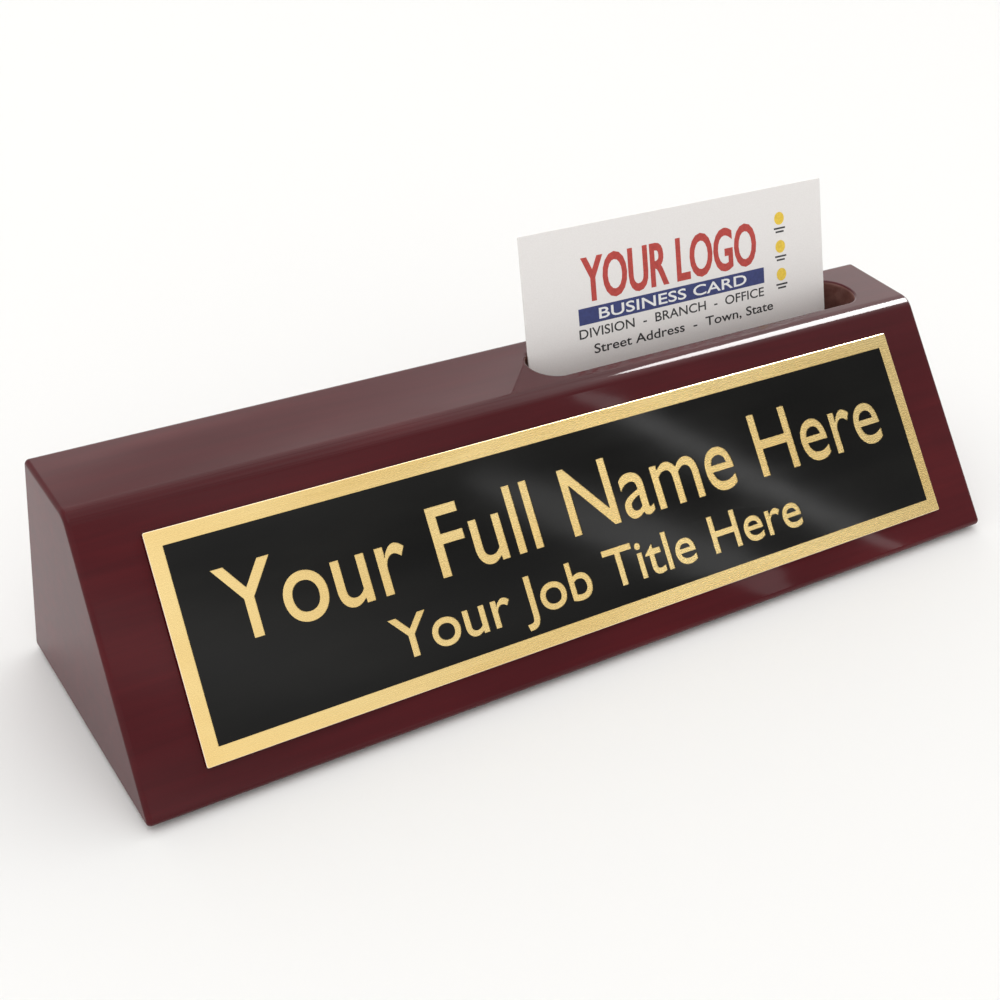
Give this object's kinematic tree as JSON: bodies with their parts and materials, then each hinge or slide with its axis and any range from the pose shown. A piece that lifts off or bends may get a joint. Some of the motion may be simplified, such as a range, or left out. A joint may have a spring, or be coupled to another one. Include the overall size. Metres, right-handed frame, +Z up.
{
  "type": "desk nameplate",
  "caption": "Lacquered wooden desk wedge with a brass nameplate on its sloping front and a slot in its top that holds a business card.",
  "frame": {"origin": "middle of the felt's underside, where the wedge rests on a desk", "axes": "+X along the length towards the slot's end, +Y towards the upright back, +Z up; the sloping front with the plate faces -Y"},
  "size_m": [0.216, 0.0603, 0.0708],
  "materials": {
    "lacquered_wood": "deep red-brown rosewood stain under a high-gloss piano lacquer",
    "felt": "dark short-pile felt",
    "brass": "bright, finely brushed",
    "black_lacquer": "gloss black coat, cut away for the lettering",
    "adhesive_tape": "thin double-sided film tape",
    "card_stock": "smooth white coated card with printing"
  },
  "bodies": {
    "block": {"wood_block": "lacquered_wood", "base_felt": "felt", "brass_plate": "brass", "black_coat": "black_lacquer", "upper_tape": "adhesive_tape", "lower_tape": "adhesive_tape"},
    "card": {"business_card": "card_stock"}
  },
  "joints": [
    {"name": "card_lift", "type": "slide", "parent": "block", "child": "card", "axis": [0, 0.3239, 0.9461], "range_m": [0, 0.035]}
  ]
}
